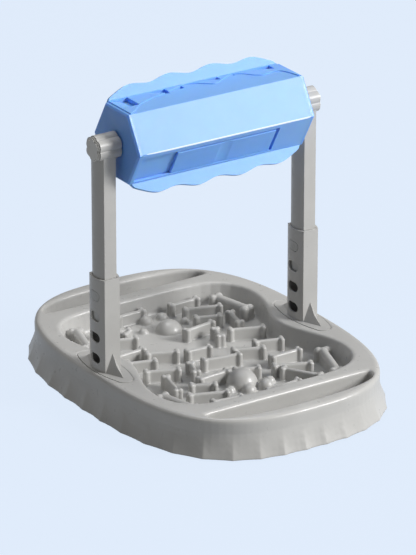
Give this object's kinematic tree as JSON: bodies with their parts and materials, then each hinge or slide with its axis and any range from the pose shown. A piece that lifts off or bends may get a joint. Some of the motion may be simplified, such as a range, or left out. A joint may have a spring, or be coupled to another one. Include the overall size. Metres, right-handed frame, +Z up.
{
  "type": "rotating treat dispenser",
  "caption": "Slow feeder tray with bone shaped ribs and side troughs, and a shuttered hexagonal treat drum spinning between telescopic posts.",
  "frame": {"origin": "centre of the tray on the floor, at the underside of the rubber feet", "axes": "+X along the drum's axis towards the right post, +Y to the back of the tray, +Z up"},
  "size_m": [0.277, 0.3798, 0.3057],
  "materials": {
    "tray_plastic": "glossy moulded grey",
    "foot_rubber": "matt",
    "post_plastic": "glossy moulded grey",
    "tube_plastic": "glossy moulded grey",
    "button_plastic": "glossy moulded grey",
    "spring_steel": "rolled strip",
    "pin_plastic": "glossy moulded grey",
    "cap_blue": "glossy moulded blue",
    "shell_blue": "glossy translucent blue",
    "shutter_blue": "glossy translucent blue"
  },
  "bodies": {
    "base": {"feeder_tray": "tray_plastic", "rubber_feet": "foot_rubber", "left_sleeve": "post_plastic", "right_sleeve": "post_plastic"},
    "left_mast": {"left_tube": "tube_plastic", "left_axle_pin": "pin_plastic", "left_button_spring": "spring_steel"},
    "right_mast": {"right_tube": "tube_plastic", "right_axle_pin": "pin_plastic", "right_button_spring": "spring_steel"},
    "drum": {"front_shell": "shell_blue", "back_shell": "shell_blue", "left_end_cap": "cap_blue", "right_end_cap": "cap_blue"},
    "front_door": {"front_shutter": "shutter_blue"},
    "back_door": {"back_shutter": "shutter_blue"},
    "left_top_button": {"left_upper_button": "button_plastic"},
    "left_low_button": {"left_lower_button": "button_plastic"},
    "right_top_button": {"right_upper_button": "button_plastic"},
    "right_low_button": {"right_lower_button": "button_plastic"}
  },
  "joints": [
    {"name": "left_height", "type": "slide", "parent": "base", "child": "left_mast", "axis": [0, 0, 1], "range_m": [-0.042, 0], "deforming": ["left_upper_button"]},
    {"name": "right_height", "type": "slide", "parent": "base", "child": "right_mast", "axis": [0, 0, 1], "range_m": [-0.042, 0], "deforming": ["right_upper_button"]},
    {"name": "drum_spin", "type": "hinge", "parent": "left_mast", "child": "drum", "pos_m": [0, 0, 0.259], "axis": [1, 0, 0], "continuous": true},
    {"name": "front_shutter_slide", "type": "slide", "parent": "drum", "child": "front_door", "axis": [-1, 0, 0], "range_m": [0, 0.04]},
    {"name": "back_shutter_slide", "type": "slide", "parent": "drum", "child": "back_door", "axis": [-1, 0, 0], "range_m": [0, 0.04]},
    {"name": "left_upper_press", "type": "slide", "parent": "left_mast", "child": "left_top_button", "axis": [1, 0, 0], "range_m": [0, 0.0024], "stiffness_N_per_m": 1500, "springref_m": -0.001, "deforming": ["left_button_spring"]},
    {"name": "left_lower_press", "type": "slide", "parent": "left_mast", "child": "left_low_button", "axis": [1, 0, 0], "range_m": [0, 0.0024], "stiffness_N_per_m": 1500, "springref_m": -0.001, "deforming": ["left_button_spring"]},
    {"name": "right_upper_press", "type": "slide", "parent": "right_mast", "child": "right_top_button", "axis": [1, 0, 0], "range_m": [0, 0.0024], "stiffness_N_per_m": 1500, "springref_m": -0.001, "deforming": ["right_button_spring"]},
    {"name": "right_lower_press", "type": "slide", "parent": "right_mast", "child": "right_low_button", "axis": [1, 0, 0], "range_m": [0, 0.0024], "stiffness_N_per_m": 1500, "springref_m": -0.001, "deforming": ["right_button_spring"]}
  ],
  "couplings": [
    {"joint": "right_height", "follows": "left_height", "ratio": 1}
  ]
}
